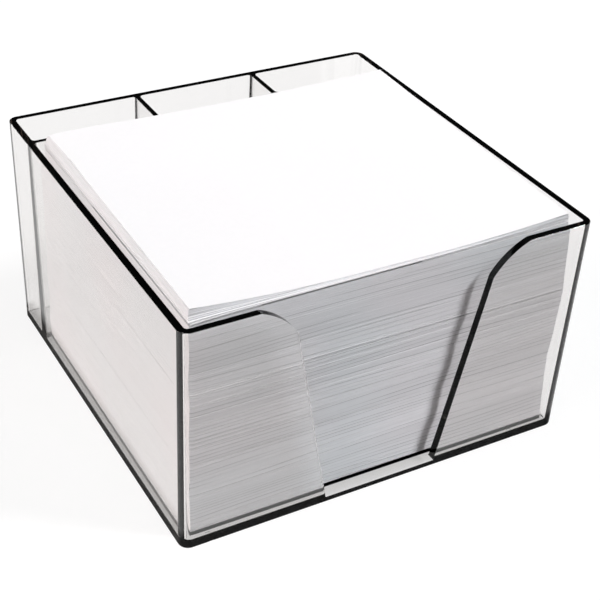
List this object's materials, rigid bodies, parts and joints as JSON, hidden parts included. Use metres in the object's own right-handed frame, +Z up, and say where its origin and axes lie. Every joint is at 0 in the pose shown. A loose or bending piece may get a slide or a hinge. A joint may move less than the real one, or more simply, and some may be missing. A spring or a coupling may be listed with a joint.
{
  "type": "memo paper holder",
  "caption": "Clear moulded desk tray for loose memo sheets, with a thumb opening in its front wall, small compartments behind the paper and a stack of white sheets.",
  "frame": {"origin": "middle of the standing face under the tray", "axes": "+Z up from the standing face to the rim; the thumb opening faces -Y; the rear compartments lie towards +Y; +X is to the right seen from the front"},
  "size_m": [0.1, 0.1, 0.0588],
  "materials": {
    "clear_smoke_plastic": "clear light-smoke polystyrene, polished mould faces",
    "memo_paper": "uncoated white writing paper"
  },
  "bodies": {
    "tray": {"holder_tray": "clear_smoke_plastic"},
    "paper_stack": {"sheet_bundle_01": "memo_paper", "sheet_bundle_02": "memo_paper", "sheet_bundle_03": "memo_paper", "sheet_bundle_04": "memo_paper", "sheet_bundle_05": "memo_paper", "sheet_bundle_06": "memo_paper", "sheet_bundle_07": "memo_paper", "sheet_bundle_08": "memo_paper", "sheet_bundle_09": "memo_paper", "sheet_bundle_10": "memo_paper", "sheet_bundle_11": "memo_paper", "sheet_bundle_12": "memo_paper", "sheet_bundle_13": "memo_paper", "sheet_bundle_14": "memo_paper", "sheet_bundle_15": "memo_paper"},
    "upper_sheets": {"sheet_bundle_16": "memo_paper", "sheet_bundle_17": "memo_paper", "sheet_bundle_18": "memo_paper", "sheet_bundle_19": "memo_paper", "sheet_bundle_20": "memo_paper"},
    "lower_leaves": {"lower_loose_leaves": "memo_paper"},
    "upper_leaves": {"upper_loose_leaves": "memo_paper"},
    "top_leaf": {"top_sheet": "memo_paper"}
  },
  "joints": [
    {"name": "stack_lift", "type": "slide", "parent": "tray", "child": "paper_stack", "axis": [0, 0, 1], "range_m": [0, 0.06]},
    {"name": "upper_sheets_lift", "type": "slide", "parent": "paper_stack", "child": "upper_sheets", "axis": [0, 0, 1], "range_m": [0, 0.03]},
    {"name": "lower_leaves_lift", "type": "slide", "parent": "upper_sheets", "child": "lower_leaves", "axis": [0, 0, 1], "range_m": [0, 0.03]},
    {"name": "upper_leaves_lift", "type": "slide", "parent": "lower_leaves", "child": "upper_leaves", "axis": [0, 0, 1], "range_m": [0, 0.03]},
    {"name": "top_sheet_lift", "type": "slide", "parent": "upper_leaves", "child": "top_leaf", "axis": [0, 0, 1], "range_m": [0, 0.03]}
  ]
}
